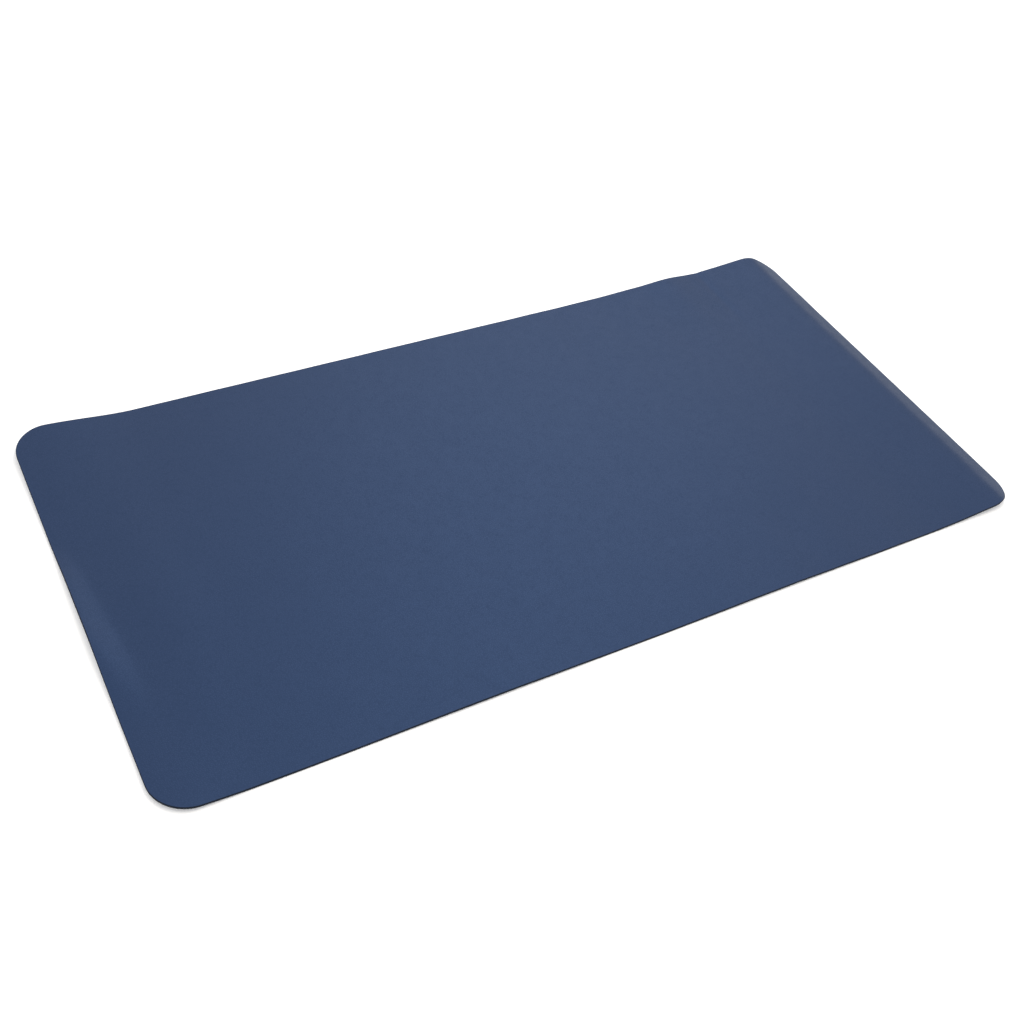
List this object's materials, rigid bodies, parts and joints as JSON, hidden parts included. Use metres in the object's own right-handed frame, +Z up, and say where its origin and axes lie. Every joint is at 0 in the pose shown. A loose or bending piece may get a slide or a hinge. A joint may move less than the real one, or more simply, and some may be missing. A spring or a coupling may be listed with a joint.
{
  "type": "desk mat",
  "caption": "Thin rectangular leather-faced desk mat with rounded corners, a suede base and a painted edge bead.",
  "frame": {"origin": "middle of the underside, on the desk top", "axes": "+X along the long side, +Y along the short side to the far edge, +Z up out of the leather face"},
  "size_m": [0.8, 0.4, 0.002],
  "materials": {
    "navy_leather": "matte",
    "edge_paint": "satin",
    "pu_foam": "matte",
    "polyester_knit": "matte",
    "hot_melt_film": "matte",
    "suede": "matte"
  },
  "bodies": {
    "root": {"suede_base": "suede", "adhesive_film": "hot_melt_film", "backing_cloth": "polyester_knit", "foam_layer": "pu_foam", "leather_skin": "navy_leather", "edge_bead": "edge_paint"}
  },
  "joints": []
}
